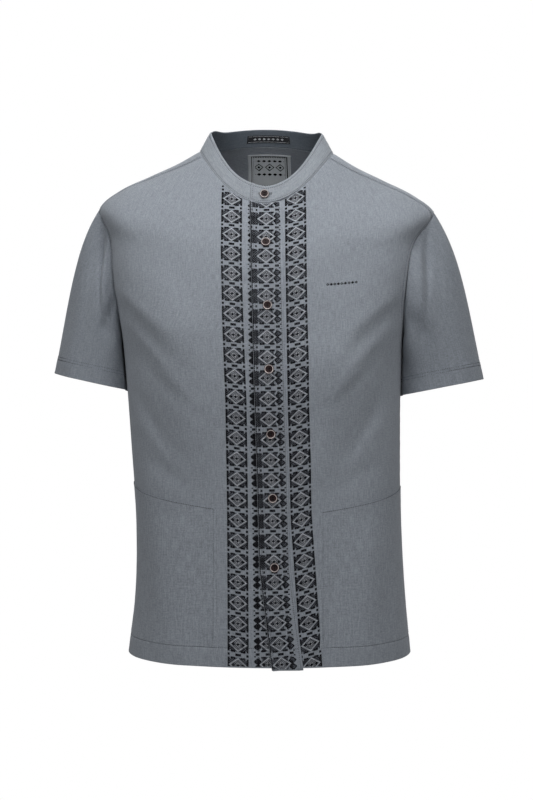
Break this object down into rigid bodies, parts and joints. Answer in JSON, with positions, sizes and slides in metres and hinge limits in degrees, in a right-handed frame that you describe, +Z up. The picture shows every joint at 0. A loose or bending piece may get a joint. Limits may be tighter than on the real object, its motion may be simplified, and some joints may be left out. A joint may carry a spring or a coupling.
{
  "type": "koko shirt",
  "caption": "Short-sleeved men's shirt with a band collar, a buttoned placket between embroidered bands, patch pockets and side vents, filled out as worn and hollow",
  "frame": {"origin": "on the centre plane, at the height of the two points where the shoulder line meets the collar, midway between front and back", "axes": "+Z up along the body, -Y out of the front, +X to the wearer's left"},
  "size_m": [0.614, 0.2708, 0.7543],
  "materials": {
    "body_cloth": "woven, heathered blue grey",
    "sleeve_cloth": "woven, heathered blue grey",
    "neck_label": "woven label",
    "collar_label": "woven label",
    "button": "polished"
  },
  "bodies": {
    "root": {"front_right": "body_cloth", "front_left": "body_cloth", "back": "body_cloth", "yoke": "body_cloth", "placket": "body_cloth", "pocket_right": "body_cloth", "pocket_left": "body_cloth", "collar_band": "body_cloth", "sleeve_right": "sleeve_cloth", "sleeve_left": "sleeve_cloth", "neck_label": "neck_label", "collar_label": "collar_label", "button_1": "button", "button_2": "button", "button_3": "button", "button_4": "button", "button_5": "button", "button_6": "button", "button_7": "button"}
  },
  "joints": []
}
